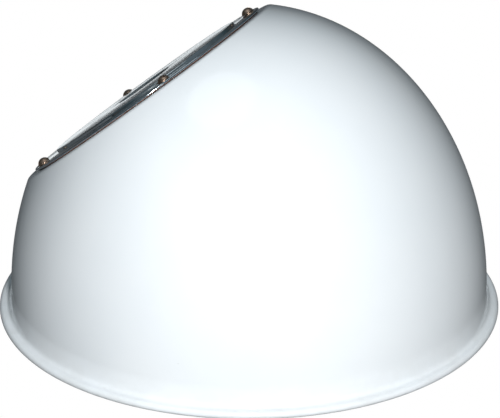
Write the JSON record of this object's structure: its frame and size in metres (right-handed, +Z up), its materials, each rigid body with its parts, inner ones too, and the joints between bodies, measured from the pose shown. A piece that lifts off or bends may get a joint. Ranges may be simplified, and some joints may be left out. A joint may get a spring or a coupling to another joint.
{
  "type": "heat lamp fixture",
  "caption": "Enamelled dome hood on a round rolled mouth, cut by a sloping flat with a screwed-on plated pan; lampholder, reflector bulb and hinged wire guard inside.",
  "frame": {"origin": "centre of the mouth, on the plane that the rolled rim rests on", "axes": "+Z up through the dome; the sloping flat with the cover pan faces -X and up; XZ is the plane of symmetry"},
  "size_m": [0.4, 0.4, 0.253],
  "materials": {
    "white_enamel": "gloss vitreous enamel",
    "brown_fibre": "pressed fibre",
    "bright_plating": "bright plating",
    "aged_brass": "aged",
    "zinc_steel": "zinc plated",
    "porcelain": "glazed",
    "shell_brass": "plain",
    "cap_metal": "plain",
    "black_glass": "vitreous black",
    "ruby_glass": "ruby face, silvered back",
    "clear_glass": "clear",
    "tungsten": "dark wire",
    "guard_plating": "plated wire"
  },
  "bodies": {
    "root": {"hood_shell": "white_enamel", "fibre_gasket": "brown_fibre", "cover_pan": "bright_plating", "pan_screw_1": "aged_brass", "pan_screw_2": "aged_brass", "pan_screw_3": "aged_brass", "pan_screw_4": "aged_brass", "pan_washer_1": "zinc_steel", "pan_washer_2": "zinc_steel", "pan_washer_3": "zinc_steel", "pan_washer_4": "zinc_steel", "pan_nut_1": "zinc_steel", "pan_nut_2": "zinc_steel", "pan_nut_3": "zinc_steel", "pan_nut_4": "zinc_steel", "inlet_bush": "zinc_steel", "inlet_locknut": "zinc_steel", "lampholder_bracket": "zinc_steel", "lampholder_body": "porcelain", "lampholder_screw_1": "zinc_steel", "lampholder_screw_2": "zinc_steel", "lampholder_nut_1": "zinc_steel", "lampholder_nut_2": "zinc_steel", "lampholder_shell": "shell_brass", "centre_contact": "shell_brass", "terminal_plate_live": "shell_brass", "terminal_plate_neutral": "shell_brass", "terminal_screw_live": "shell_brass", "terminal_screw_neutral": "shell_brass", "earth_screw": "shell_brass", "earth_nut": "zinc_steel", "guard_hinge_bracket": "white_enamel", "guard_hinge_pin": "zinc_steel", "latch_bracket": "white_enamel", "latch_pin": "zinc_steel"},
    "bulb_carriage": {"bulb_tip": "cap_metal"},
    "bulb": {"bulb_cap": "cap_metal", "bulb_insulator": "black_glass", "bulb_glass": "ruby_glass", "bulb_stem": "clear_glass", "bulb_filament": "tungsten"},
    "guard": {"guard_grille": "guard_plating"},
    "turn_button": {"latch_button": "zinc_steel"}
  },
  "joints": [
    {"name": "bulb_travel", "type": "slide", "parent": "root", "child": "bulb_carriage", "axis": [0.6613, 0, -0.7501], "range_m": [0, 0.0218]},
    {"name": "bulb_turn", "type": "hinge", "parent": "bulb_carriage", "child": "bulb", "pos_m": [-0.09062, 0, 0.17287], "axis": [0.6613, 0, -0.7501], "range_deg": [0, 2160]},
    {"name": "guard_open", "type": "hinge", "parent": "root", "child": "guard", "pos_m": [0.1825, 0, 0.009], "axis": [0, -1, 0], "range_deg": [0, 100]},
    {"name": "button_turn", "type": "hinge", "parent": "root", "child": "turn_button", "pos_m": [-0.1832, 0, 0.0042], "axis": [0, 0, -1], "range_deg": [0, 90]}
  ],
  "couplings": [
    {"joint": "bulb_travel", "follows": "bulb_turn", "m_per_rad": 0.00057757}
  ]
}
